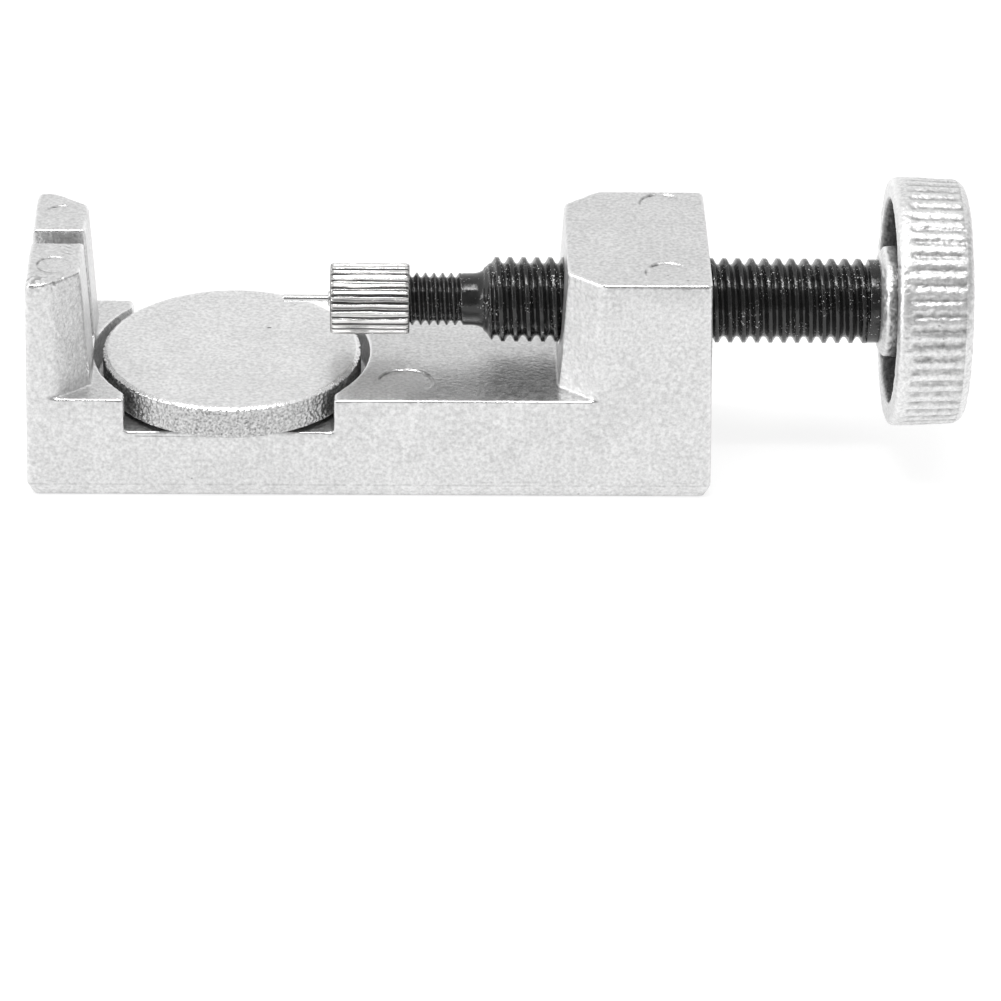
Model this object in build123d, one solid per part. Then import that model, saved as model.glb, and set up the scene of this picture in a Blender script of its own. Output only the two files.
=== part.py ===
"""Bench press for the link pins of a metal watch bracelet.

Frame: millimetres, +Z up. The origin is the middle of the base's footprint, on the surface the
tool stands on. X runs along the screw: the fork is at -X, the knob at +X. The front is at -Y.
"""
from build123d import *
import math
import os

# --- driving dimensions ---------------------------------------------------------------------
# body casting
BASE_LENGTH, BASE_DEPTH = 63.66, 20.4     # outline at the foot, before the foot bevel
TOP_LENGTH, TOP_DEPTH = 62.68, 19.6       # the same outline at the top of the block
BODY_HEIGHT = 22.18                       # top of the block
FORK_HEIGHT = 22.0
PLATFORM_Z = 10.25                        # working level between fork and block
FOOT_BEVEL_IN, FOOT_BEVEL_UP = 0.6, 1.4
FORK_INNER_X = -25.8                      # face of the fork towards the table, at the platform
BLOCK_INNER_X = 17.5                      # face of the screw block towards the table
INNER_LEAN = 0.66                         # both lean back this much from platform to top
CORNER_X, CORNER_Y = 3.45, 2.95           # cut corners of fork and block, in plan
CORNER_INNER_Y = 7.1                      # half width of the inner faces between those corners
FORK_SLOT = 2.5                           # gap that lets the driven-out pin through
FORK_SLOT_Z = 10.9                        # its floor
EDGE_ROUND = 0.45                         # upright casting edges
CORNER_ROUND_IN = 0.4                     # upright edge of a cut corner, next to the inner face
FORK_CORNER_ROUND, BLOCK_CORNER_ROUND = 2.4, 1.5  # its other upright edge
RIM_ROUND = 0.3                           # upper casting edges

# table
TABLE_X = -12.95
POCKET_RADIUS = 12.9
POCKET_Z = 6.9                            # pocket floor
THUMB_GAP = 19.35                         # pocket's opening at the front and the back
TABLE_RADIUS, TABLE_THICK = 12.1, 3.15
TABLE_BEVEL, TABLE_FOOT_BEVEL = 0.4, 0.2
TABLE_TOP_Z = 10.46
STUD_PITCH, STUD_CREST = 1.0, 2.94
STUD_SEAT_DEPTH = 1.9                     # how far the stud is set into the table
STUD_END_Z = 0.55
CLIP_Z, CLIP_THICK, CLIP_RADIUS = 0.85, 0.6, 4.4
CLIP_NECK = 2.2                           # radius of the stud's groove
CLIP_BORE_RADIUS, CLIP_BORE_DEPTH = 5.4, 3.4

# screw spindle
AXIS_Z = 15.68
SCREW_PITCH, SCREW_CREST = 1.25, 3.92
NOSE_PITCH, NOSE_CREST = 0.8, 2.47
NOSE_END_X = -1.3
NECK_X, FLARE_X, SCREW_X = 8.63, 9.5, 11.04
NECK_RADIUS, FLARE_RADIUS = 2.43, 3.18
SHANK_X, SHANK_RADIUS = 46.45, 3.74
TANG_RADIUS, TANG_END_X = 3.1, 53.38      # spindle end cast into the knob

# knob
KNOB_X, KNOB_WIDTH, KNOB_RADIUS = 48.38, 7.0, 11.6
KNOB_TAPER_DEG = 2.0
KNOB_LIP, KNOB_SHOULDER = 0.55, 1.3       # rounding of the rim at the open face and at the outer face
KNOB_RECESS_RADIUS, KNOB_RECESS_DEPTH = 9.55, 4.4
BOSS_RADIUS, BOSS_PROUD = 5.15, 0.95      # the boss stands proud of the open face
BOSS_BEVEL_IN, BOSS_BEVEL_UP = 0.8, 0.5
KNOB_FLUTES, FLUTE_RADIUS, FLUTE_DEPTH = 52, 0.46, 0.2
FLUTE_X = 49.6

# chuck and pin
CHUCK_X, CHUCK_LENGTH, CHUCK_RADIUS = -3.72, 7.4, 3.34
CHUCK_RIBS, RIB_DEPTH = 28, 0.3
RIB_LAND = 0.2                            # half of a rib's flat crest, as a share of the rib pitch
PIN_TIP_X, PIN_RADIUS = -8.13, 0.34
PIN_SHANK_RADIUS, PIN_SHANK_END_X = 0.72, 2.5

# threads
CREST_FLAT = 0.125                        # of the pitch
THREAD_DEPTH = 0.58                       # of the pitch
FLANK_SLOPE = math.tan(math.radians(30))
THREAD_GAP = 0.08                         # along the axis, on each flank
CREST_GAP = 0.1
LIMIT_OVER = 0.1                          # how far a trimming shape stands outside the crests

# seat a solid on its lowest face
STAND = (Align.CENTER, Align.CENTER, Align.MIN)

# ejector-pin marks left by the casting mould: x, y, z of the face, radius. Each is a little
# askew, so that it is deeper at the back and runs out at the front.
MARK_DEPTH, MARK_TILT_DEG = 0.07, 2.0
MOULD_MARKS = [
    (-28.9, -5.75, FORK_HEIGHT, 1.6),
    (-28.75, 5.2, FORK_HEIGHT, 1.6),
    (27.3, -7.15, BODY_HEIGHT, 2.05),
    (27.3, 7.15, BODY_HEIGHT, 2.05),
    (3.3, -6.3, PLATFORM_Z, 2.5),
    (3.3, 6.3, PLATFORM_Z, 2.5),
]


def on_screw_axis(shape):
    """Turn a shape made along +Z so that it lies along +X on the spindle's axis."""
    return Pos(0, 0, AXIS_Z) * Rot(0, 90, 0) * shape


def turned(points):
    """A solid turned about Z from (radius, height) points, closed along the axis."""
    profile = Polyline((0, points[0][1]), *points, (0, points[-1][1]), close=True)
    return revolve(Plane.XZ * make_face(profile), Axis.Z)


def ridge(crest, pitch, start, end, gap=0.0):
    """Right-hand thread ridge about Z. A gap above zero makes it a tap's ridge."""
    depth = THREAD_DEPTH * pitch
    root = crest - depth - 0.06
    top = crest + (CREST_GAP if gap else 0.0)
    half_crest = CREST_FLAT * pitch / 2 + gap
    half_top = half_crest - (top - crest) * FLANK_SLOPE
    half_root = half_crest + (crest - root) * FLANK_SLOPE
    section = Polyline(
        (root, -half_root), (top, -half_top), (top, half_top), (root, half_root), close=True)
    # the phase is fixed by height, so a screw and its tapped hole always match
    first = math.floor(start / pitch) * pitch
    turns = math.ceil((end - first) / pitch)
    path = Pos(0, 0, first) * Helix(pitch, turns * pitch, crest)
    profile = Pos(0, 0, first) * (Plane.XZ * make_face(section))
    return sweep(profile, path=path, is_frenet=True)


def cut_corner_pad(inner_x, side, lean):
    """Plan points of one end of the working space, from back to front."""
    out = 1.6
    reach_x, reach_y = CORNER_X * out, CORNER_Y * out
    x = inner_x + side * lean
    return [
        (x + side * reach_x, CORNER_INNER_Y + reach_y),
        (x, CORNER_INNER_Y),
        (x, -CORNER_INNER_Y),
        (x + side * reach_x, -CORNER_INNER_Y - reach_y),
    ]


def working_space():
    """The open space between fork and block, with the cut corners."""
    lean_per_mm = INNER_LEAN / (BODY_HEIGHT - PLATFORM_Z)
    levels = []
    for z in (PLATFORM_Z, BODY_HEIGHT + 2):
        lean = lean_per_mm * (z - PLATFORM_Z)
        fork = cut_corner_pad(FORK_INNER_X, -1, lean)
        block = cut_corner_pad(BLOCK_INNER_X, 1, lean)
        levels.append(Pos(0, 0, z) * make_face(Polyline(*fork, *reversed(block), close=True)))
    return loft(levels, ruled=True)


def outline(z, inset=0.0):
    """The casting's outline at a height: the sides lean in slightly towards the top."""
    share = z / BODY_HEIGHT
    length = BASE_LENGTH + (TOP_LENGTH - BASE_LENGTH) * share - 2 * inset
    depth = BASE_DEPTH + (TOP_DEPTH - BASE_DEPTH) * share - 2 * inset
    return Pos(0, 0, z) * RectangleRounded(length, depth, EDGE_ROUND)


def body_blank():
    """Base, fork and block before anything is drilled."""
    foot = loft([outline(0, FOOT_BEVEL_IN), outline(FOOT_BEVEL_UP)], ruled=True)
    upper = loft([outline(FOOT_BEVEL_UP), outline(BODY_HEIGHT)], ruled=True)
    blank = foot + upper - working_space()
    blank -= Pos(-BASE_LENGTH / 2, 0, FORK_HEIGHT) * Box(BASE_LENGTH / 2, BASE_DEPTH, 1, align=STAND)
    depth = PLATFORM_Z - POCKET_Z
    blank -= Pos(FORK_INNER_X, 0, FORK_SLOT_Z) * Box(20, FORK_SLOT, BODY_HEIGHT, align=STAND)
    blank -= Pos(TABLE_X, 0, POCKET_Z) * Cylinder(POCKET_RADIUS, depth, align=STAND)
    blank -= Pos(TABLE_X, 0, POCKET_Z) * Box(THUMB_GAP, BASE_DEPTH + 2, depth, align=STAND)
    return blank


def cut_corner_edges(blank, low_y, high_y, side):
    """The upright edges that border the working space, at this distance from the middle, on the
    fork (side -1) or on the block (side 1)."""
    found = []
    for edge in blank.edges():
        rise, middle = edge.bounding_box().size.Z, edge.center()
        upright = 5 < rise < BODY_HEIGHT - PLATFORM_Z + 0.1
        if upright and low_y < abs(middle.Y) < high_y and middle.X * side > 0:
            found.append(edge)
    return found


def top_edges(blank, height):
    """Edges that lie in the top face at this height."""
    return [e for e in blank.edges() if abs(e.bounding_box().min.Z - height) < 0.01
            and e.bounding_box().size.Z < 0.01]


def round_casting_edges(blank):
    """Break the corners of fork and block, then the edges of their tops."""
    split_y = CORNER_INNER_Y + CORNER_Y / 2
    for side, radius in ((-1, FORK_CORNER_ROUND), (1, BLOCK_CORNER_ROUND)):
        inner = cut_corner_edges(blank, CORNER_INNER_Y - 0.2, split_y, side)
        blank = fillet(inner, CORNER_ROUND_IN)
        blank = fillet(cut_corner_edges(blank, split_y, BASE_DEPTH, side), radius)
    for height in (BODY_HEIGHT, FORK_HEIGHT):
        blank = fillet(top_edges(blank, height), RIM_ROUND)
    return blank


def tapped_hole(crest, pitch, start, end):
    """Tools that cut a tapped hole about Z: the tap, and a countersink for each end."""
    minor = crest - THREAD_DEPTH * pitch + CREST_GAP / 2
    mouth, sink = crest + CREST_GAP + 0.1, crest - minor + CREST_GAP + 0.2
    tap = Pos(0, 0, start - 3) * Cylinder(minor, end - start + 6, align=STAND)
    tap += ridge(crest, pitch, start - pitch, end + pitch, THREAD_GAP)
    low = turned([(mouth, start - 1), (mouth, start), (minor - 0.1, start + sink)])
    high = turned([(minor - 0.1, end - sink), (mouth, end), (mouth, end + 1)])
    return [tap, low, high]


def body_casting():
    """Base, fork and screw block, cast in one piece and tapped for the screw and the stud."""
    body = round_casting_edges(body_blank())
    for tool in tapped_hole(SCREW_CREST, SCREW_PITCH, BLOCK_INNER_X + 0.3, TOP_LENGTH / 2 + 0.16):
        body -= on_screw_axis(tool)
    body -= Pos(TABLE_X, 0, 0) * Cylinder(CLIP_BORE_RADIUS, CLIP_BORE_DEPTH, align=STAND)
    for tool in tapped_hole(STUD_CREST, STUD_PITCH, CLIP_BORE_DEPTH, POCKET_Z):
        body -= Pos(TABLE_X, 0, 0) * tool
    for x, y, z, radius in MOULD_MARKS:
        askew = Pos(x, y, z - MARK_DEPTH) * Rot(-MARK_TILT_DEG, 0, 0)
        body -= askew * Cylinder(radius, 1, align=STAND)
    return body


def table_disc():
    """Round table that the bracelet lies on, turned by its rim to raise or lower it."""
    disc = Cylinder(TABLE_RADIUS, TABLE_THICK, align=STAND)
    disc = chamfer(disc.edges().group_by(Axis.Z)[-1], TABLE_BEVEL)
    disc = chamfer(disc.edges().group_by(Axis.Z)[0], TABLE_FOOT_BEVEL)
    disc = Pos(TABLE_X, 0, TABLE_TOP_Z - TABLE_THICK) * disc
    seat = Pos(TABLE_X, 0, TABLE_TOP_Z - TABLE_THICK) * Cylinder(
        STUD_CREST - 0.3, STUD_SEAT_DEPTH, align=STAND)
    return disc - seat


def threaded_rod(crest, pitch, start, end, start_radius, end_radius, lead_in):
    """A threaded length about Z between two flat ends, its thread running out at each."""
    core_radius = crest - THREAD_DEPTH * pitch
    rod = Pos(0, 0, start - pitch) * Cylinder(core_radius, end - start + 2 * pitch, align=STAND)
    rod += ridge(crest, pitch, start - pitch, end)
    beyond = crest + LIMIT_OVER
    return rod & turned([
        (start_radius, start), (beyond, start + lead_in), (beyond, end - 0.2), (end_radius, end)])


def table_stud():
    """Threaded stud set into the table, with a groove near its foot for the clip."""
    seat_z = TABLE_TOP_Z - TABLE_THICK
    core_radius = STUD_CREST - THREAD_DEPTH * STUD_PITCH
    groove_low, groove_high = CLIP_Z - 0.05, CLIP_Z + CLIP_THICK + 0.05
    thread_low, thread_high = groove_high + 0.5, seat_z - 0.3
    foot = turned([
        (core_radius - 0.3, STUD_END_Z), (core_radius, STUD_END_Z + 0.2), (core_radius, groove_low),
        (CLIP_NECK - 0.1, groove_low), (CLIP_NECK - 0.1, groove_high), (core_radius, groove_high),
        (core_radius, thread_low)])
    seat_radius = STUD_CREST - 0.3
    thread = threaded_rod(
        STUD_CREST, STUD_PITCH, thread_low, thread_high, core_radius + 0.1, STUD_CREST - 0.2, 0.7)
    head = turned([
        (STUD_CREST - 0.2, thread_high), (STUD_CREST, thread_high + 0.1), (STUD_CREST, seat_z),
        (seat_radius, seat_z), (seat_radius, seat_z + STUD_SEAT_DEPTH)])
    return Pos(TABLE_X, 0, 0) * (foot + thread + head)


def table_retaining_ring():
    """Open clip in the stud's groove: it stops the table from being screwed out."""
    ring = Cylinder(CLIP_RADIUS, CLIP_THICK, align=STAND)
    ring -= Cylinder(CLIP_NECK, CLIP_THICK, align=STAND)
    ring -= Pos(CLIP_RADIUS, 0, 0) * Box(
        2 * CLIP_RADIUS, 1.5 * CLIP_NECK, CLIP_THICK, align=STAND)
    for angle in (120, 240):
        ring -= Rot(0, 0, angle) * (Pos(CLIP_NECK + 0.5, 0, 0) * Cylinder(
            0.6, CLIP_THICK, align=STAND))
    return Pos(TABLE_X, 0, CLIP_Z) * ring


def neck():
    """Relieved neck that sweeps up to the root of the main thread."""
    start, end = (NECK_RADIUS, FLARE_X), (FLARE_RADIUS, SCREW_X)
    with BuildLine() as line:
        TangentArc(start, end, tangent=(0, 1))
        Polyline(end, (0, SCREW_X), (0, NECK_X), (NECK_RADIUS, NECK_X), start)
    return revolve(Plane.XZ * make_face(line.line), Axis.Z)


def spindle():
    """Main screw with its relieved neck, threaded nose and plain end for the knob."""
    nose_core = NOSE_CREST - THREAD_DEPTH * NOSE_PITCH
    thread_x = NOSE_END_X + 1.3
    tip = turned([(nose_core - 0.55, NOSE_END_X), (nose_core, thread_x)])
    nose = threaded_rod(NOSE_CREST, NOSE_PITCH, thread_x, NECK_X, nose_core, NECK_RADIUS, 0.6)
    screw = threaded_rod(
        SCREW_CREST, SCREW_PITCH, SCREW_X, SHANK_X, FLARE_RADIUS + 0.1, SHANK_RADIUS, 0.6)
    shoulder_x = KNOB_X - BOSS_PROUD
    shank = turned([(SHANK_RADIUS, SHANK_X), (SHANK_RADIUS, shoulder_x), (TANG_RADIUS, shoulder_x),
                    (TANG_RADIUS, TANG_END_X)])
    shape = screw + shank + neck() + nose + tip
    shape -= Pos(0, 0, NOSE_END_X) * Cylinder(
        PIN_SHANK_RADIUS + 0.06, PIN_SHANK_END_X + 0.1 - NOSE_END_X, align=STAND)
    for angle in (0, 90):
        shape -= Rot(0, 0, angle) * (Pos(0, 0, NOSE_END_X) * Box(6, 0.4, 2.2, align=STAND))
    return on_screw_axis(shape)


def knob_outline():
    """(radius, distance from the open face) of the knob's outside."""
    taper = math.tan(math.radians(KNOB_TAPER_DEG))
    far_radius = KNOB_RADIUS - taper * (KNOB_WIDTH - 2)
    lip, shoulder = KNOB_LIP, KNOB_SHOULDER
    with BuildLine() as line:
        a = Line((KNOB_RECESS_RADIUS, 0), (KNOB_RADIUS - lip, 0))
        b = ThreePointArc(a @ 1, (KNOB_RADIUS - 0.26 * lip, 0.34 * lip), (KNOB_RADIUS, 1.15 * lip))
        c = Line(b @ 1, (KNOB_RADIUS, 1.8))
        d = Line(c @ 1, (far_radius, KNOB_WIDTH - shoulder))
        e = ThreePointArc(
            d @ 1, (far_radius - 0.29 * shoulder, KNOB_WIDTH - 0.29 * shoulder),
            (far_radius - shoulder, KNOB_WIDTH))
        f = Polyline(e @ 1, (0, KNOB_WIDTH), (0, KNOB_RECESS_DEPTH + 0.6),
                     (TANG_RADIUS, KNOB_RECESS_DEPTH + 0.6), (TANG_RADIUS, -BOSS_PROUD),
                     (BOSS_RADIUS - BOSS_BEVEL_IN, -BOSS_PROUD),
                     (BOSS_RADIUS, BOSS_BEVEL_UP - BOSS_PROUD),
                     (BOSS_RADIUS + 0.15, KNOB_RECESS_DEPTH),
                     (KNOB_RECESS_RADIUS - 0.35, KNOB_RECESS_DEPTH), (KNOB_RECESS_RADIUS, 0))
    return line.line


def knob():
    """Cast hand knob: fluted outside, hollow towards the block, with a boss on the spindle."""
    body = revolve(Plane.XZ * make_face(knob_outline()), Axis.Z)
    flute = Pos(KNOB_RADIUS + FLUTE_RADIUS - FLUTE_DEPTH, 0, FLUTE_X - KNOB_X) * (
        Rot(0, -KNOB_TAPER_DEG, 0) * Cylinder(FLUTE_RADIUS, KNOB_WIDTH, align=STAND))
    flutes = [Rot(0, 0, 360 * i / KNOB_FLUTES) * flute for i in range(KNOB_FLUTES)]
    return on_screw_axis(Pos(0, 0, KNOB_X) * (body - flutes))


def chuck_sleeve():
    """Knurled cap that closes the slit nose on the pin's shank."""
    crest, valley = CHUCK_RADIUS, CHUCK_RADIUS - RIB_DEPTH
    step = 360 / CHUCK_RIBS
    star = []
    for i in range(CHUCK_RIBS):
        for share, radius in ((RIB_LAND, crest), (-RIB_LAND, crest), (-0.5, valley)):
            angle = math.radians(step * (i - share))
            star.append((radius * math.cos(angle), radius * math.sin(angle)))
    body = extrude(make_face(Polyline(*star, close=True)), CHUCK_LENGTH)
    body &= turned([(crest - 0.25, 0), (crest, 0.25), (crest, CHUCK_LENGTH - 0.15),
                    (crest - 0.2, CHUCK_LENGTH)])
    bore = NOSE_CREST + 0.08
    mouth = PIN_SHANK_RADIUS + 0.08
    body -= turned([(mouth, -1), (mouth, 1.1), (mouth + 0.35, 1.1), (bore - 0.1, 3.4), (bore, 3.5),
                    (bore, CHUCK_LENGTH - 0.15), (bore + 0.15, CHUCK_LENGTH),
                    (bore + 0.15, CHUCK_LENGTH + 1)])
    return on_screw_axis(Pos(0, 0, CHUCK_X) * body)


def push_pin():
    """Stepped driving pin: a thick shank held by the chuck and a thin tip that pushes."""
    return on_screw_axis(turned([
        (PIN_RADIUS - 0.05, PIN_TIP_X), (PIN_RADIUS, PIN_TIP_X + 0.08),
        (PIN_RADIUS, CHUCK_X - 0.22), (PIN_SHANK_RADIUS - 0.08, CHUCK_X - 0.2),
        (PIN_SHANK_RADIUS, CHUCK_X - 0.1), (PIN_SHANK_RADIUS, PIN_SHANK_END_X)]))


NODES = {
    "body_casting": body_casting,
    "table_disc": table_disc,
    "table_stud": table_stud,
    "table_retaining_ring": table_retaining_ring,
    "spindle": spindle,
    "knob": knob,
    "chuck_sleeve": chuck_sleeve,
    "push_pin": push_pin,
}


def build():
    os.makedirs("parts", exist_ok=True)
    for name, make in NODES.items():
        shape = make()
        count, volume = len(shape.solids()), round(shape.volume, 2)
        print(name, "solids", count, "volume", volume, "valid", shape.is_valid)
        export_step(shape, f"parts/{name}.step")


if __name__ == "__main__":
    build()
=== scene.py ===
"""Looks of the bracelet pin press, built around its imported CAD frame. Metres, +Z up, front at -Y."""

import math

import bmesh
import bpy
import numpy as np
from mathutils import Matrix, Vector, noise


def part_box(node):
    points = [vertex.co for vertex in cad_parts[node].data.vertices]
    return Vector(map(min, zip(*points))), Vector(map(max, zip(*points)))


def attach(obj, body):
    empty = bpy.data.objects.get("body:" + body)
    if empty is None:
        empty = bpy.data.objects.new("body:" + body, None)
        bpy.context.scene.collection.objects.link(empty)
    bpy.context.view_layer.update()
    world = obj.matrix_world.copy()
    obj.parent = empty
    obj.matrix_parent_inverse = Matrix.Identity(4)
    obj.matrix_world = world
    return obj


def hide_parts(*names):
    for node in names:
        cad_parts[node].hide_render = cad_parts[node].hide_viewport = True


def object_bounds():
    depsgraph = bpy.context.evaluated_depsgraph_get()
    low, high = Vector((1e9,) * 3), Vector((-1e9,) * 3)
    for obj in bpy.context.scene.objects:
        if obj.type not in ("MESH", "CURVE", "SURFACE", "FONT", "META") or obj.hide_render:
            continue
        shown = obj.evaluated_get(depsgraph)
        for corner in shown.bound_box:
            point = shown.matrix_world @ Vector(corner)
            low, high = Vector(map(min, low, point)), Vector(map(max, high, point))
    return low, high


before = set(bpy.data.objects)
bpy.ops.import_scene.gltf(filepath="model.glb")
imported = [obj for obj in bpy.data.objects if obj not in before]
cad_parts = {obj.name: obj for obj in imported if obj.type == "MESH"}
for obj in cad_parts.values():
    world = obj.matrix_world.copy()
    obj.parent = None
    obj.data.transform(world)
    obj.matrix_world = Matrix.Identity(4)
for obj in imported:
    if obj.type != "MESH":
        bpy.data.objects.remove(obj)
cad_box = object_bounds()

MM = 0.001

# --- places taken from the frame ---------------------------------------------------------------
body_low, body_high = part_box("body_casting")
disc_low, disc_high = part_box("table_disc")
knob_low, knob_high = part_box("knob")
chuck_low, chuck_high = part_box("chuck_sleeve")
screw_low, screw_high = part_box("spindle")
stud_low, stud_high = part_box("table_stud")

AXIS_Z = (screw_low.z + screw_high.z) / 2 / MM
TABLE_X = (disc_low.x + disc_high.x) / 2 / MM
TABLE_RADIUS = (disc_high.x - disc_low.x) / 2 / MM
TABLE_BOTTOM, TABLE_TOP = disc_low.z / MM, disc_high.z / MM
STUD_RADIUS = (stud_high.x - stud_low.x) / 2 / MM
SCREW_RADIUS = (screw_high.z - screw_low.z) / 2 / MM
KNOB_FACE, KNOB_END = knob_low.x / MM, knob_high.x / MM
KNOB_RADIUS = (knob_high.z - knob_low.z) / 2 / MM
CHUCK_LEFT, CHUCK_RIGHT = chuck_low.x / MM, chuck_high.x / MM
CHUCK_RADIUS = (chuck_high.z - chuck_low.z) / 2 / MM
BLOCK_TOP, BLOCK_RIGHT = body_high.z / MM, body_high.x / MM
FORK_LEFT, BODY_FRONT = body_low.x / MM, body_low.y / MM

# --- meshes --------------------------------------------------------------------------------------


def new_object(name, mesh):
    obj = bpy.data.objects.new(name, mesh)
    bpy.context.scene.collection.objects.link(obj)
    return obj


def cad_copy(node, name):
    """A welded copy of a CAD node's mesh, in millimetres."""
    bm = bmesh.new()
    bm.from_mesh(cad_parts[node].data)
    bmesh.ops.transform(bm, matrix=Matrix.Scale(1 / MM, 4), verts=bm.verts)
    bmesh.ops.remove_doubles(bm, verts=bm.verts, dist=0.001)
    mesh = bpy.data.meshes.new(name)
    bm.to_mesh(mesh)
    bm.free()
    return new_object(name, mesh)


def apply_modifiers(obj):
    """Bake the modifiers of an object into its mesh."""
    graph = bpy.context.evaluated_depsgraph_get()
    mesh = bpy.data.meshes.new_from_object(obj.evaluated_get(graph))
    obj.modifiers.clear()
    obj.data = mesh


def points_of(mesh):
    co = np.empty(len(mesh.vertices) * 3, np.float32)
    mesh.vertices.foreach_get("co", co)
    return co.reshape(-1, 3).astype(float)


def set_points(mesh, points):
    mesh.vertices.foreach_set("co", points.astype(np.float32).ravel())
    mesh.update()


def normals_of(mesh):
    out = np.empty(len(mesh.vertices) * 3, np.float32)
    mesh.vertex_normals.foreach_get("vector", out)
    return out.reshape(-1, 3).astype(float)


def field(points, size, seed=0.0):
    """Smooth noise, about -1 to 1, with features of this size."""
    shift = Vector((seed, 2.3 * seed, 3.7 * seed))
    return np.array([noise.noise(Vector(p) / size + shift) for p in points])


def store(obj, name, values):
    """Keep one number for each point, for a material to read."""
    data = obj.data.attributes.new(name, "FLOAT", "POINT").data
    data.foreach_set("value", values.astype(np.float32))


def off_axis(points):
    """Distance from the spindle's axis."""
    return np.hypot(points[:, 1], points[:, 2] - AXIS_Z)


def mark_wear_and_highlight(obj, start=0.4, full=1.5, level=0.25, weight=1.0):
    """Store how sharply the surface bulges at each point, 0 to 1, for a material's edges, brightened
    both by rubbing and by a painted highlight. start and full are curvatures in 1/mm. Edges that don't
    face up keep only level of it, so the painted highlight falls mostly on edges that face up."""
    mesh = obj.data
    points, normals = points_of(mesh), normals_of(mesh)
    ends = np.empty(len(mesh.edges) * 2, np.int32)
    mesh.edges.foreach_get("vertices", ends)
    a, b = ends.reshape(-1, 2).T
    across = points[b] - points[a]
    length = np.maximum((across ** 2).sum(1), 1e-8)
    count = np.bincount(a, minlength=len(points)) + np.bincount(b, minlength=len(points))
    bulge = np.bincount(a, -(across * normals[a]).sum(1) / length, len(points))
    bulge += np.bincount(b, (across * normals[b]).sum(1) / length, len(points))
    bulge = 2 * bulge / count
    near = np.bincount(a, bulge[b], len(points)) + np.bincount(b, bulge[a], len(points))
    bulge = (bulge + near / count) / 2
    wear_and_highlight = np.clip((bulge - start) / (full - start), 0, 1)
    # painted highlight: edges that face up keep more of the mark than the others
    wear_and_highlight *= np.clip(level + 1.5 * normals[:, 2], level, 1) * weight
    store(obj, "wear_and_highlight", wear_and_highlight)
    return wear_and_highlight


def voxel_mesh(obj, voxel):
    """Rebuild a mesh on an even grid of this spacing."""
    remesh = obj.modifiers.new("grid", "REMESH")
    remesh.mode = "VOXEL"
    remesh.voxel_size = voxel
    apply_modifiers(obj)


def soften(obj, rounds, where):
    """Round off a mesh where the mask is true."""
    soft = obj.vertex_groups.new(name="soft")
    soft.add([int(i) for i in np.nonzero(where)[0]], 1.0, "ADD")
    smooth = obj.modifiers.new("smooth", "SMOOTH")
    smooth.factor = 0.5
    smooth.iterations = rounds
    smooth.vertex_group = "soft"
    apply_modifiers(obj)
    obj.vertex_groups.clear()


def thin_mesh(obj, faces=190_000):
    """Drop triangles where the surface is flat, down to this many."""
    triangles = 2 * len(obj.data.polygons)
    if triangles > faces:
        thin = obj.modifiers.new("thin", "DECIMATE")
        thin.ratio = faces / triangles
        apply_modifiers(obj)


def push(obj, amount):
    """Move each point along its normal."""
    points = points_of(obj.data)
    set_points(obj.data, points + normals_of(obj.data) * amount[:, None])


def finish_mesh(obj, body, node, slot, *materials):
    """Back to metres, smooth shading, and the place in the moving frame."""
    obj.data.transform(Matrix.Scale(MM, 4))
    obj.data.polygons.foreach_set("use_smooth", [True] * len(obj.data.polygons))
    obj.data.update()
    obj.data.materials.clear()
    for material in materials:
        obj.data.materials.append(material)
    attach(obj, body)
    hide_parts(node)
    return obj


def lathe(name, rings, columns, hollow=False):
    """A closed mesh about Z from rings of (radii, heights): pole to pole, or, where it is hollow,
    out along the outside and back along the bore."""
    angles = np.arange(columns) * 2 * math.pi / columns
    rows = []
    for radius, height in rings:
        radius = np.broadcast_to(radius, columns)
        height = np.broadcast_to(height, columns)
        rows.append(np.stack([radius * np.cos(angles), radius * np.sin(angles), height], 1))
    points = np.concatenate(rows)
    faces = []
    for r in range(len(rows) if hollow else len(rows) - 1):
        low, high = r * columns, (r + 1) % len(rows) * columns
        for c in range(columns):
            d = (c + 1) % columns
            faces.append((low + c, low + d, high + d, high + c))
    if not hollow:
        faces.append(tuple(reversed(range(columns))))
        faces.append(tuple(range((len(rows) - 1) * columns, len(rows) * columns)))
    mesh = bpy.data.meshes.new(name)
    mesh.from_pydata(points.tolist(), [], faces)
    mesh.validate()
    return new_object(name, mesh)


# --- materials -----------------------------------------------------------------------------------


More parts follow.
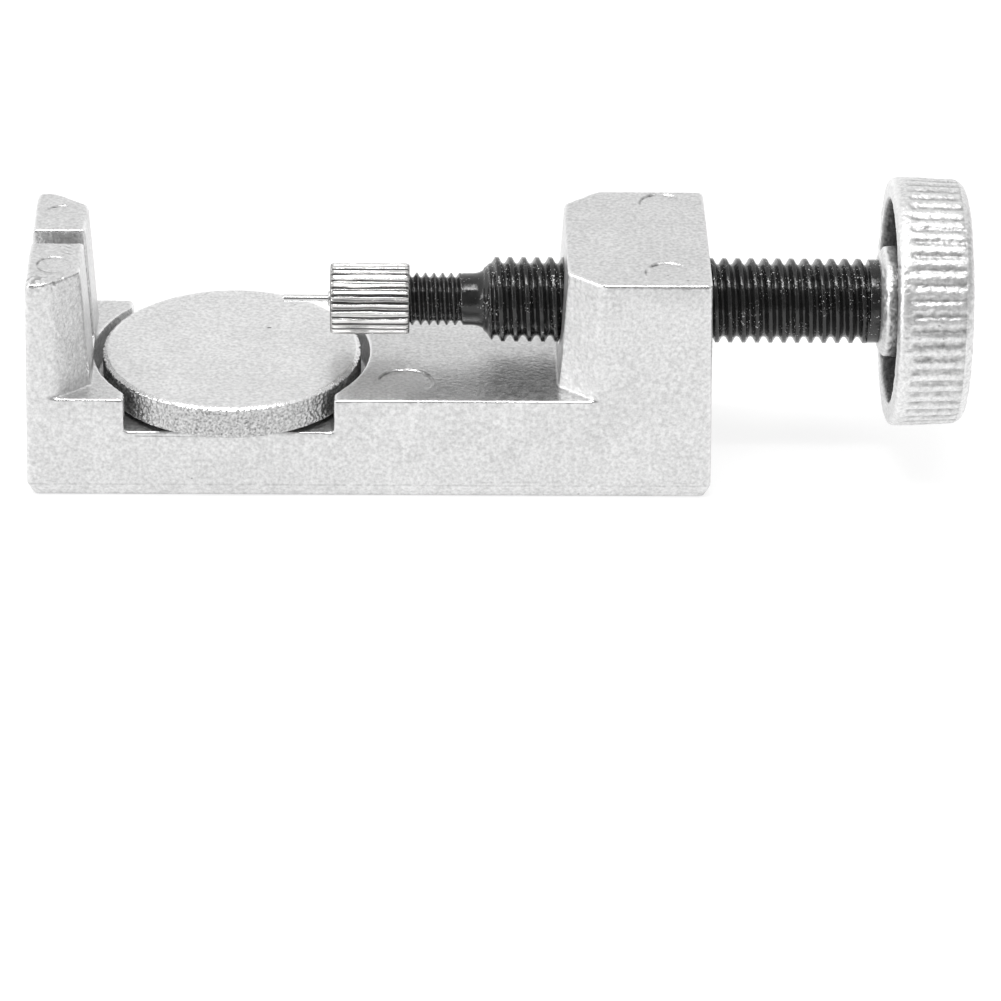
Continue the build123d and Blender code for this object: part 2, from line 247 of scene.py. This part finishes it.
class Nodes:
    """Short names for building one material's node tree."""

    def __init__(self, name):
        self.material = bpy.data.materials.new(name)
        self.material.use_nodes = True
        self.tree = self.material.node_tree
        self.shader = self.tree.nodes["Principled BSDF"]
        self.place = self.add("ShaderNodeTexCoord").outputs["Object"]

    def add(self, kind, **values):
        node = self.tree.nodes.new(kind)
        for key, value in values.items():
            setattr(node, key, value)
        return node

    def link(self, source, target):
        self.tree.links.new(source, target)

    def stretched(self, x, y, z):
        """Object coordinates scaled, for a pattern drawn out along one axis."""
        node = self.add("ShaderNodeMapping")
        self.link(self.place, node.inputs["Vector"])
        node.inputs["Scale"].default_value = (x, y, z)
        return node.outputs["Vector"]

    def grain(self, size, detail=2.0, place=None, rough=0.5):
        """Noise with features of this size in millimetres, 0 to 1."""
        node = self.add("ShaderNodeTexNoise")
        self.link(place or self.place, node.inputs["Vector"])
        node.inputs["Scale"].default_value = 1 / (size * MM)
        node.inputs["Detail"].default_value = detail
        node.inputs["Roughness"].default_value = rough
        return node.outputs["Fac"]

    def ramp(self, source, *stops):
        """Grey ramp from (position, value) stops."""
        node = self.add("ShaderNodeValToRGB")
        self.link(source, node.inputs["Fac"])
        elements = node.color_ramp.elements
        while len(elements) < len(stops):
            elements.new(0.5)
        for element, (position, value) in zip(elements, stops):
            element.position = position
            colour = value if isinstance(value, tuple) else (value, value, value)
            element.color = (*colour, 1.0)
        return node.outputs["Color"]

    def spot(self, place, radii):
        """Distance from a place, in these radii in millimetres along X, Y and Z."""
        node = self.add("ShaderNodeMapping", vector_type="POINT")
        self.link(self.place, node.inputs["Vector"])
        node.inputs["Scale"].default_value = [1 / (r * MM) for r in radii]
        node.inputs["Location"].default_value = [-p / r for p, r in zip(place, radii)]
        length = self.add("ShaderNodeVectorMath", operation="LENGTH")
        self.link(node.outputs["Vector"], length.inputs[0])
        return length.outputs["Value"]

    def mix(self, factor, a, b, blend="MIX"):
        """Colour mix. A factor, a or b is a socket or a value."""
        node = self.add("ShaderNodeMix", data_type="RGBA", blend_type=blend)
        for value, socket in ((factor, node.inputs[0]), (a, node.inputs[6]), (b, node.inputs[7])):
            if isinstance(value, bpy.types.NodeSocket):
                self.link(value, socket)
            else:
                socket.default_value = value
        return node.outputs[2]

    def bump(self, height, depth, under=None):
        """Bump of this depth in millimetres, on top of another."""
        node = self.add("ShaderNodeBump")
        node.inputs["Strength"].default_value = 1.0
        node.inputs["Distance"].default_value = depth * MM
        self.link(height, node.inputs["Height"])
        if under is not None:
            self.link(under, node.inputs["Normal"])
        return node.outputs["Normal"]

    def done(self, colour, roughness, normal, **constants):
        self.link(colour, self.shader.inputs["Base Color"])
        self.link(roughness, self.shader.inputs["Roughness"])
        if normal is not None:
            self.link(normal, self.shader.inputs["Normal"])
        for key, value in constants.items():
            self.shader.inputs[key.replace("_", " ")].default_value = value
        return self.material


def grey(value, warm=0.0):
    return (value * (1 + warm), value, value * (1 - warm), 1.0)


def blasted_alloy(name, level, rough, coarse=0.035, fine=0.035, edge=0.2, painted_shade=0.75, fleck=0.18,
                  fleck_size=0.34, pit=None):
    """Die-cast alloy with a fine blasted grain: mottled grey, brighter and smoother on edges, both
    from rubbing and from a painted highlight on the edges that face up, and darkened in grooves by
    painted shade. coarse and fine are the depths of its two grains, fleck is how far its grey varies,
    and pit is the place of a small casting flaw,
    painted as a dark spot of shade: lengths in millimetres."""
    n = Nodes(name)
    cloud = n.ramp(n.grain(4.0, 3.0), (0.3, level * 0.96), (0.7, level * 1.03))
    grain = n.grain(fleck_size, 1.5, rough=0.65)
    flecks = n.ramp(grain, (0.28, 1 - fleck), (0.5, 1.0), (0.72, 1 + fleck))
    pores = n.ramp(n.grain(0.6, 0.0), (0.085, 0.6), (0.12, 1.0))
    base = n.mix(1.0, n.mix(1.0, cloud, flecks, "MULTIPLY"), pores, "MULTIPLY")
    if pit is not None:
        # painted shade: a dark spot where a small pit would be; the mesh has no dent there
        hole = n.ramp(n.spot(pit, (0.26, 0.12, 1.0)), (0.6, 0.12), (1.0, 1.0))
        base = n.mix(1.0, base, hole, "MULTIPLY")
    worn_and_highlit = n.add("ShaderNodeAttribute", attribute_name="wear_and_highlight").outputs["Fac"]
    groove_shade = n.add("ShaderNodeAttribute", attribute_name="groove_shade").outputs["Fac"]
    # edges brightened by rubbing and by a painted highlight on those that face up
    bright = n.mix(worn_and_highlit, base, grey(min(1.0, level + edge)))
    # painted shade: colour darkened where the shade mark is high
    colour = n.mix(1.0, bright, n.ramp(groove_shade, (0.0, 1.0), (1.0, 1.0 - painted_shade)), "MULTIPLY")
    roughness = n.mix(worn_and_highlit, n.ramp(n.grain(0.5, 2.0), (0.3, rough - 0.05), (0.7, rough + 0.07)),
                      grey(rough - 0.14))
    normal = n.bump(n.grain(0.5, 1.0), coarse)
    normal = n.bump(n.grain(0.26, 1.5), fine, normal)
    return n.done(colour, roughness, normal, Metallic=1.0)


def black_oxide():
    """Blackened steel with a slight sheen, fine pores and small bright specks of bare steel from
    rubbing, and crests lightened by rubbing and by a painted highlight.
    """
    n = Nodes("black_oxide_steel")
    cloud = n.ramp(n.grain(1.2, 3.0), (0.3, 0.005), (0.7, 0.014))
    speck = n.ramp(n.grain(0.2, 1.0), (0.66, 0.0), (0.73, 1.0))
    patch = n.ramp(n.grain(2.2, 1.0), (0.46, 0.0), (0.62, 1.0))
    bright = n.mix(1.0, speck, patch, "MULTIPLY")
    worn_and_highlit = n.add("ShaderNodeAttribute", attribute_name="wear_and_highlight").outputs["Fac"]
    # crests lightened by the edge mark: partly rubbing, partly a painted highlight
    rubbed_and_highlit = n.mix(n.mix(1.0, worn_and_highlit, grey(0.5), "MULTIPLY"), cloud, grey(0.06))
    colour = n.mix(bright, rubbed_and_highlit, grey(0.75))
    roughness = n.ramp(n.grain(0.4, 2.0), (0.3, 0.12), (0.7, 0.26))
    normal = n.bump(n.grain(0.3, 2.0), 0.016)
    return n.done(colour, roughness, normal, Specular_IOR_Level=0.6)


def drawn_steel(name, level, rough, warm=0.0, depth=0.003, streak=0.1, painted_shade=0.0):
    """Bright steel or nickel with fine lines along the screw's axis, and painted shade in its grooves.
    """
    n = Nodes(name)
    lines = n.grain(streak, 3.0, n.stretched(0.06, 1.0, 1.0))
    base = n.ramp(lines, (0.25, level * 0.86), (0.75, min(1.0, level * 1.06)))
    colour = n.mix(1.0, base, grey(1.0, warm), "MULTIPLY")
    if painted_shade:
        # painted shade: colour darkened in the grooves
        groove_shade = n.add("ShaderNodeAttribute", attribute_name="groove_shade").outputs["Fac"]
        colour = n.mix(1.0, colour, n.ramp(groove_shade, (0.0, 1.0), (1.0, 1.0 - painted_shade)), "MULTIPLY")
    roughness = n.ramp(n.grain(0.35, 2.0), (0.3, rough * 0.8), (0.7, rough * 1.3))
    normal = n.bump(lines, depth)
    return n.done(colour, roughness, normal, Metallic=1.0)


def floor_paint():
    """White translucent table top, lit from underneath."""
    n = Nodes("studio_floor")
    colour = n.ramp(n.grain(40.0, 2.0), (0.3, 0.29), (0.7, 0.31))
    roughness = n.ramp(n.grain(6.0, 2.0), (0.3, 0.75), (0.7, 0.9))
    return n.done(colour, roughness, None, Specular_IOR_Level=0.2,
                  Emission_Color=(1.0, 1.0, 1.0, 1.0), Emission_Strength=0.78)


# --- pieces --------------------------------------------------------------------------------------

# the main thread as it was rolled: its crests fill out to this radius, its roots by this much
MAIN_THREAD_START, CREST_RADIUS, THREAD_FILL = 10.6, SCREW_RADIUS + 0.03, 0.16
SCREW_MINOR = SCREW_RADIUS - 0.48         # the tapped hole clears those roots

# the body: the fork and the platform, and the bevelled foot
FORK_TOP, FORK_THICKNESS, FORK_SAG = BLOCK_TOP - 0.18, 5.5, 0.28
PLATFORM, THUMB_GAP_HALF, FOOT_BEVEL = 10.25, 10.0, 1.4
BLOCK_FRONT_LEFT = 18.0

# the knob, from its boss's face: the hollow's edge and floor, the boss, the rim's taper
HOLLOW_RADIUS, HOLLOW_END, BOSS_RADIUS = 9.75, 6.2, 5.6
KNOB_TAPER, TAPER_START = math.tan(math.radians(2.0)), 2.75

# ejector-pin marks of the casting mould: x, y, face height and radius in millimetres, then the
# middle and the half width of the arc that shows, in degrees from +X
MOULD_MARKS = [
    (FORK_LEFT + 2.9, -5.75, FORK_TOP, 1.6, 240, 200),
    (FORK_LEFT + 3.05, 5.2, FORK_TOP, 1.6, 80, 85),
    (BLOCK_RIGHT - 4.5, -7.15, BLOCK_TOP, 2.05, 95, 105),
    (BLOCK_RIGHT - 4.5, 7.15, BLOCK_TOP, 2.05, 95, 100),
    (TABLE_X + 16.25, -6.3, PLATFORM, 2.5, 75, 110),
    (TABLE_X + 16.25, 6.3, PLATFORM, 2.5, 75, 110),
]
MARK_RIDGE, MARK_DEPTH = 0.07, 0.1


def ring_marks(points):
    """The broken arcs that ejector pins leave: how high each point stands, and how much painted shade
    it takes in the arc's dip, most on the arc's left side, 0 to 1."""
    height, groove_shade = np.zeros(len(points)), np.zeros(len(points))
    for x, y, z, radius, middle, half in MOULD_MARKS:
        away = np.hypot(points[:, 0] - x, points[:, 1] - y)
        near = (np.abs(points[:, 2] - z) < 0.35) & (away < radius + 0.6)
        spots = points[near]
        off = away[near] - radius
        turn = np.degrees(np.arctan2(spots[:, 1] - y, spots[:, 0] - x))
        from_middle = np.abs((turn - middle + 180) % 360 - 180)
        broken = np.clip(0.8 + 1.3 * field(spots, 0.7, 8.0), 0, 1.3)
        shown = np.clip((half - from_middle) / 30, 0, 1) * broken
        left = np.clip(0.35 - np.cos(np.radians(turn)), 0, 1)
        ridge = MARK_RIDGE * np.exp(-((off - 0.16) / 0.1) ** 2)
        dip = MARK_DEPTH * np.exp(-(off / 0.12) ** 2)
        height[near] += shown * (ridge - dip)
        # painted shade in the arc's dip, on its left side
        groove_shade[near] += shown * left * np.exp(-(off / 0.1) ** 2)
    return height, groove_shade


def trim_marks(points):
    """How deep each point lies in the dents along the fork's front edge, or in the short strokes
    beside its slot, where the flash was cut."""
    on_fork = points[:, 0] < FORK_LEFT + FORK_THICKNESS
    top = np.clip((points[:, 2] - FORK_TOP + 1.2) / 0.6, 0, 1) * on_fork
    edge = top * np.exp(-((points[:, 1] + 8.8) / 0.9) ** 2)
    near = edge > 0.05
    depth = np.zeros(len(points))
    depth[near] = 0.34 * edge[near] * np.clip(field(points[near], 0.45, 4.0), 0, 1)
    beside = top * np.exp(-((points[:, 0] - FORK_LEFT - 3.95) / 0.4) ** 2)
    strokes = np.clip(np.cos((points[:, 1] + 0.5 * points[:, 0]) * 2 * math.pi / 0.62), 0, 1) ** 2
    slot_side = (points[:, 1] < -1.5) & (points[:, 1] > -3.9)
    return depth + 0.12 * beside * strokes * slot_side


def foot_line(points):
    """The thin, broken line where the foot's bevel starts, and the painted shade along the bottom edge
    where it ends: how much of each there is at each point, 0 to 1."""
    inside_ends, inside_sides = -FORK_LEFT - np.abs(points[:, 0]), -BODY_FRONT - np.abs(points[:, 1])
    outside = np.minimum(inside_ends, inside_sides) < 0.7
    near = outside & (points[:, 2] < FOOT_BEVEL + 0.4)
    line = np.zeros(len(points))
    broken = np.clip(0.75 + 1.5 * field(points[near], 0.8, 3.0), 0, 1)
    line[near] = np.exp(-((points[near, 2] - FOOT_BEVEL) / 0.1) ** 2) * broken
    return line, outside * np.clip(1 - points[:, 2] / 0.16, 0, 1)


def near_threads(points):
    """The tapped holes for the screw and for the stud, which keep their CAD shape."""
    near_screw = (off_axis(points) < SCREW_RADIUS + 0.35) & (points[:, 0] > 0)
    near_stud = np.hypot(points[:, 0] - TABLE_X, points[:, 1]) < STUD_RADIUS + 0.35
    return near_screw | near_stud


def soften_fork(obj):
    """Round the fork's top off further than the rest, apart from the slot's edges."""
    points = points_of(obj.data)
    fork_head = (points[:, 0] < FORK_LEFT + FORK_THICKNESS) & (points[:, 2] > FORK_TOP - 2.5)
    soften(obj, 24, fork_head & (np.abs(points[:, 1]) > 2.2))


def soften_thumb_gaps(obj):
    """Round off the upright edges of the gaps in front of and behind the table."""
    points = points_of(obj.data)
    gap_side = np.abs(np.abs(points[:, 0] - TABLE_X) - THUMB_GAP_HALF) < 1.4
    gap_side &= np.abs(points[:, 1]) > 7.8
    soften(obj, 16, gap_side & (points[:, 2] > 6.5) & (points[:, 2] < PLATFORM + 0.3))


def shape_body(points):
    """Let the fork's back horn sag, add the marks, and clear the tapped hole of the filled screw."""
    fork = (points[:, 0] < FORK_LEFT + FORK_THICKNESS) & (points[:, 2] > FORK_TOP - 4)
    sag = np.clip((points[:, 1] - 3.0) / 6.0, 0, 1) * np.clip((points[:, 2] - FORK_TOP + 4) / 4, 0, 1)
    points[:, 2] -= FORK_SAG * sag * fork
    points[:, 2] += ring_marks(points)[0]
    points[:, 2] -= trim_marks(points)
    points[:, 1] -= 0.05 * foot_line(points)[0] * np.sign(points[:, 1])
    hole = (off_axis(points) < SCREW_RADIUS + 0.2) & (points[:, 0] > 0)
    widen = np.maximum(SCREW_MINOR / np.maximum(off_axis(points), 0.1), 1.0)
    points[hole, 1] *= widen[hole]
    points[hole, 2] = AXIS_Z + (points[hole, 2] - AXIS_Z) * widen[hole]
    return points


def body_shade(points):
    """Where painted shade darkens the body, 0 to 1: in its marks and dents, along the foot's lines,
    and just under the block's lip.
    """
    line, bottom = foot_line(points)
    # painted shade in the trim dents and strokes, on the foot's bevel line and along the bottom edge
    shade = 0.5 * np.clip(trim_marks(points) / 0.12, 0, 1) + 0.3 * line + 0.5 * bottom
    # painted shade just under the block's front lip
    front_lip = (points[:, 1] < BODY_FRONT + 0.4) & (points[:, 0] > BLOCK_FRONT_LEFT)
    shade += 0.14 * front_lip * np.exp(-((points[:, 2] - BLOCK_TOP + 0.6) / 0.3) ** 2)
    return np.clip(ring_marks(points)[1] + shade, 0, 1)


def cast_body():
    """Base, fork and screw block as one casting with soft edges and an uneven skin."""
    obj = cad_copy("body_casting", "cast_body")
    voxel_mesh(obj, 0.13)
    soften(obj, 6, ~near_threads(points_of(obj.data)))
    soften_fork(obj)
    soften_thumb_gaps(obj)
    set_points(obj.data, shape_body(points_of(obj.data)))
    thin_mesh(obj)
    points = points_of(obj.data)
    wear_and_highlight = mark_wear_and_highlight(obj, weight=1 - 0.8 * np.clip(np.abs(ring_marks(points)[0]) / 0.03, 0, 1))
    # painted shade for the material: marks, dents, foot lines and under the lip
    store(obj, "groove_shade", body_shade(points))
    uneven = 0.016 * field(points, 3.0, 1.0) + 0.005 * field(points, 0.55, 5.0)
    uneven += wear_and_highlight * 0.035 * field(points, 0.7, 9.0)
    push(obj, uneven * ~near_threads(points))
    return finish_mesh(obj, "body", "body_casting", "cast_body",
                       blasted_alloy("blasted_casting", 0.69, 0.39))


def knurled_disc():
    """Round table: flat grained top, a bevel brightened by rubbing and a painted highlight, and a
    rough, well-used knurl on the rim, whose pitch and depth are in millimetres; the rim is painted
    darker as shade."""
    columns, pitch, depth = 960, 0.62, 0.13
    bevel_in, bevel_down = 0.40, 0.26
    angles = np.arange(columns) * 2 * math.pi / columns
    around = angles * TABLE_RADIUS
    turns = round(2 * math.pi * TABLE_RADIUS / pitch)
    phase = angles * turns / (2 * math.pi)
    rings = [(r, TABLE_BOTTOM) for r in np.linspace(0.3, TABLE_RADIUS - 0.5, 14)]
    low, high = TABLE_BOTTOM + 0.15, TABLE_TOP - bevel_down
    rings.append((TABLE_RADIUS - 0.16, TABLE_BOTTOM + 0.05))
    for z in np.linspace(low, high, 26):
        climb = (z - low) / pitch
        left = np.abs((phase + climb) % 1 - 0.5) * 2
        right = np.abs((phase - climb) % 1 - 0.5) * 2
        spots = np.stack([np.cos(angles) * TABLE_RADIUS, np.sin(angles) * TABLE_RADIUS,
                          np.full(columns, z)], 1)
        rough = 0.5 + 0.8 * field(spots, 0.3, 3.0) + 0.9 * field(spots, 0.2, 7.0)
        height = np.clip(0.16 * np.minimum(left, right) + rough, 0, 1)
        rings.append((TABLE_RADIUS - depth * (1 - height), z))
    wave = 0.03 * np.sin(around * 1.7) + 0.02 * np.sin(around * 4.1)
    for share in (0.08, 0.5, 0.92):
        edge = TABLE_RADIUS - 0.05 - wave * (1 - share) - bevel_in * share
        rings.append((edge, high + bevel_down * share))
    rings += [(r, TABLE_TOP) for r in np.linspace(TABLE_RADIUS - bevel_in - 0.12, 0.3, 26)]
    obj = lathe("knurled_table", rings, columns)
    points = points_of(obj.data)
    top = points[:, 2] > TABLE_TOP - 0.01
    points[top, 2] -= 0.006 + 0.005 * field(points[top], 2.4, 2.0)
    points[:, 0] += TABLE_X
    set_points(obj.data, points)
    # edge mark: rubbing and a painted highlight on the bevel and the knurl's tips
    mark_wear_and_highlight(obj)
    # painted shade: the rim takes a darker copy of the table's alloy
    rim = blasted_alloy("knurled_rim_shaded", 0.50, 0.40, edge=0.3, fleck=0.5, fleck_size=0.24)
    face = blasted_alloy("blasted_table", 0.76, 0.38, edge=0.2, pit=(TABLE_X + 3.4, 4.0, TABLE_TOP))
    piece = finish_mesh(obj, "table", "table_disc", "cast_table", face, rim)
    for polygon in piece.data.polygons:
        middle = polygon.center / MM
        off = math.hypot(middle.x - TABLE_X, middle.y)
        polygon.material_index = int(off > TABLE_RADIUS - 0.35 and middle.z < high)
    return piece


def cast_knob():
    """Hand knob with soft cast flutes, painted shade in their grooves and in its hollow, and a rough
    boss round the spindle.
    """
    obj = cad_copy("knob", "cast_knob")
    voxel_mesh(obj, 0.11)
    seat = off_axis(points_of(obj.data)) < SCREW_RADIUS + 0.1
    soften(obj, 30, ~seat)
    thin_mesh(obj)
    mark_wear_and_highlight(obj)
    points = points_of(obj.data)
    radius, along = off_axis(points), points[:, 0] - KNOB_FACE
    seat = radius < SCREW_RADIUS + 0.1
    outside = (radius > KNOB_RADIUS - 1.0) & (along > 2.0) & (along < KNOB_END - KNOB_FACE - 0.8)
    envelope = KNOB_RADIUS - KNOB_TAPER * np.clip(along - TAPER_START, 0, 9)
    # painted shade in the flutes' grooves
    groove_shade = np.clip((envelope - radius - 0.04) / 0.14, 0, 1) * outside * 0.5
    # painted shade in the hollow, fading out near the boss's face
    hollow = (radius < HOLLOW_RADIUS) * (radius > 5.0) * (along < HOLLOW_END)
    hollow = hollow * np.clip((along - 0.5) / 1.1, 0, 1)
    store(obj, "groove_shade", np.maximum(groove_shade * (0.8 + 0.8 * field(points, 0.6, 2.0)), hollow))
    boss = (along < 1.6) & (radius < BOSS_RADIUS) & (radius > SCREW_RADIUS + 0.3)
    uneven = 0.04 * field(points, 1.3, 1.0) + 0.035 * field(points, 0.5, 4.0)
    uneven += 0.02 * field(points, 0.3, 8.0) + boss * 0.06 * field(points, 0.8, 6.0)
    push(obj, uneven * ~seat)
    alloy = blasted_alloy("bright_casting", 0.76, 0.47, coarse=0.06, fine=0.04, painted_shade=0.8)
    return finish_mesh(obj, "spindle", "knob", "cast_knob", alloy)


def rolled_spindle():
    """Main screw with the flat crests and rounded roots that thread rolling leaves."""
    obj = cad_copy("spindle", "rolled_spindle")
    voxel_mesh(obj, 0.1)
    points = points_of(obj.data)
    soften(obj, 2, np.ones(len(points), bool))
    points = points_of(obj.data)
    radius = off_axis(points)
    main = (points[:, 0] > MAIN_THREAD_START) & (radius > 2.6)
    filled = np.minimum(radius + THREAD_FILL, CREST_RADIUS)
    grow = np.where(main & (radius < CREST_RADIUS), filled / np.maximum(radius, 0.1), 1.0)
    points[:, 1] *= grow
    points[:, 2] = AXIS_Z + (points[:, 2] - AXIS_Z) * grow
    set_points(obj.data, points)
    thin_mesh(obj)
    mark_wear_and_highlight(obj, 2.0, 6.0, 0.5)
    push(obj, 0.012 * field(points_of(obj.data), 0.4, 2.0))
    return finish_mesh(obj, "spindle", "spindle", "black_steel", black_oxide())


def knurled_chuck():
    """Bright cap with a straight knurl: rounded ribs between narrow grooves, darkened with painted
    shade. It is turned about Z from its mouth at 0 and laid along the spindle's axis afterwards."""
    ribs, rib_columns, depth, groove_share = 28, 24, 0.24, 0.22
    columns = ribs * rib_columns
    along = (np.arange(columns) % rib_columns) / rib_columns - 0.5
    bore, mouth = 2.55, 0.8
    length = CHUCK_RIGHT - CHUCK_LEFT
    rings = [(mouth, 1.1), (mouth, 0.05), (mouth + 0.1, 0.0)]
    rings += [(r, 0.0) for r in np.linspace(1.2, CHUCK_RADIUS - 0.45, 5)]
    turned = np.arange(columns) * 2 * math.pi / columns
    for x in np.linspace(0.04, length - 0.04, 48):
        spots = np.stack([np.cos(turned) * CHUCK_RADIUS, np.sin(turned) * CHUCK_RADIUS,
                          np.full(columns, x / 4)], 1)
        sway = 0.09 * field(spots, 0.7, 3.0)
        share = np.clip(1 - np.abs(along + sway) / groove_share, 0, 1)
        end = 0.16 * max(0.0, 1 - min(x, length - x) / 0.3)
        crown = 0.25 * (along + sway) ** 2
        rings.append((CHUCK_RADIUS - 0.01 - end - depth * share ** 0.8 - crown, x))
    rings += [(r, length) for r in np.linspace(CHUCK_RADIUS - 0.4, bore + 0.1, 4)]
    rings += [(bore, length - 0.1), (bore, 3.5), (bore - 0.1, 3.4), (mouth + 0.35, 1.15)]
    obj = lathe("knurled_chuck", rings, columns, hollow=True)
    points = points_of(obj.data)
    radius = np.hypot(points[:, 0], points[:, 1])
    # painted shade in the knurl's grooves, none on the end faces
    groove_shade = np.clip((CHUCK_RADIUS - radius - 0.07) / 0.1, 0, 1)
    groove_shade[(points[:, 2] < 0.03) | (points[:, 2] > length - 0.03)] = 0.0
    store(obj, "groove_shade", groove_shade)
    x, y, z = points.T
    set_points(obj.data, np.stack([CHUCK_LEFT + z, y, AXIS_Z - x], 1))
    return finish_mesh(obj, "chuck", "chuck_sleeve", "bright_steel",
                       drawn_steel("bright_nickel", 0.77, 0.2, warm=0.01, depth=0.008, painted_shade=0.7))


def paint(node, material):
    """Give a CAD node its material."""
    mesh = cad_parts[node].data
    mesh.materials.clear()
    mesh.materials.append(material)
    mesh.polygons.foreach_set("material_index", [0] * len(mesh.polygons))


cast_body()
knurled_disc()
cast_knob()
rolled_spindle()
knurled_chuck()
paint("push_pin", drawn_steel("ground_pin_steel", 0.66, 0.12, streak=0.06))
paint("table_stud", drawn_steel("stud_steel", 0.50, 0.32))
paint("table_retaining_ring", drawn_steel("spring_steel", 0.22, 0.36))


# --- studio --------------------------------------------------------------------------------------


def floor():
    bpy.ops.mesh.primitive_plane_add(size=6.0)
    obj = bpy.context.object
    obj.name = "floor"
    obj.data.materials.append(floor_paint())


def softbox(name, place, target, width, height, power):
    data = bpy.data.lights.new(name, "AREA")
    data.shape = "RECTANGLE"
    data.size, data.size_y = width, height
    data.energy = power
    light = bpy.data.objects.new(name, data)
    light.location = place
    light.rotation_mode = "QUATERNION"
    light.rotation_quaternion = (Vector(target) - Vector(place)).to_track_quat("-Z", "Y")
    bpy.context.scene.collection.objects.link(light)


def studio_sky():
    """Tent walls: bright at the back and the left, dimmer overhead, dark at the open front and
    where a card stands on the right."""
    world = bpy.data.worlds.new("studio")
    bpy.context.scene.world = world
    world.use_nodes = True
    tree = world.node_tree
    background = tree.nodes["Background"]
    place = tree.nodes.new("ShaderNodeTexCoord").outputs["Generated"]

    def shade(direction, stops):
        """Grey by how nearly a ray runs along a direction: stops of (cosine, grey)."""
        along = tree.nodes.new("ShaderNodeVectorMath")
        along.operation = "DOT_PRODUCT"
        along.inputs[1].default_value = direction
        tree.links.new(place, along.inputs[0])
        ramp = tree.nodes.new("ShaderNodeValToRGB")
        tree.links.new(along.outputs["Value"], ramp.inputs["Fac"])
        elements = ramp.color_ramp.elements
        while len(elements) < len(stops):
            elements.new(0.5)
        for element, (position, value) in zip(elements, stops):
            element.position = position
            element.color = (value, value, value, 1.0)
        return ramp.outputs["Color"]

    tent = shade((0, 0, 1), ((0.0, 1.0), (0.55, 1.0), (0.80, 0.75), (1.0, 0.6)))
    rise = math.radians(28)
    opening = shade((0, -math.cos(rise), math.sin(rise)), ((0.62, 1.0), (0.86, 0.3), (1.0, 0.22)))
    card = shade((1, 0, 0), ((0.70, 1.0), (0.86, 0.35), (1.0, 0.3)))
    total = tent
    for part in (opening, card):
        both = tree.nodes.new("ShaderNodeMix")
        both.data_type, both.blend_type = "RGBA", "MULTIPLY"
        both.inputs[0].default_value = 1.0
        tree.links.new(total, both.inputs[6])
        tree.links.new(part, both.inputs[7])
        total = both.outputs[2]
    tree.links.new(total, background.inputs["Color"])
    background.inputs["Strength"].default_value = 1.0


def camera():
    """Long lens from the front, half above, turned and tipped by about a degree."""
    turn, rise, tip = math.radians(1.275), math.radians(29.67), math.radians(0.88)
    target, distance = Vector((12.45, 0.0, -5.95)) * MM, 482.1 * MM
    ahead = Vector((math.sin(turn) * math.cos(rise), math.cos(turn) * math.cos(rise), -math.sin(rise)))
    level = Vector((math.cos(turn), -math.sin(turn), 0.0))
    above = level.cross(ahead)
    right = math.cos(tip) * level + math.sin(tip) * above
    up = math.cos(tip) * above - math.sin(tip) * level
    data = bpy.data.cameras.new("camera")
    data.sensor_width = 36.0
    data.lens = 181.6
    data.clip_start, data.clip_end = 0.01, 20.0
    obj = bpy.data.objects.new("camera", data)
    pose = Matrix((right, up, -ahead)).transposed().to_4x4()
    pose.translation = target - ahead * distance
    obj.matrix_world = pose
    bpy.context.scene.collection.objects.link(obj)
    bpy.context.scene.camera = obj


floor()
studio_sky()
middle = (cad_box[0] + cad_box[1]) / 2
softbox("key", middle + Vector((-0.08, -0.14, 0.85)), middle, 0.4, 0.34, 2.9)
softbox("strip", middle + Vector((0.0, -0.22, 0.75)), middle, 0.7, 0.05, 1.5)
softbox("edge", middle + Vector((-0.72, -0.25, 0.30)), middle, 0.3, 0.3, 1.3)
camera()
bpy.context.scene.view_settings.view_transform = "Standard"
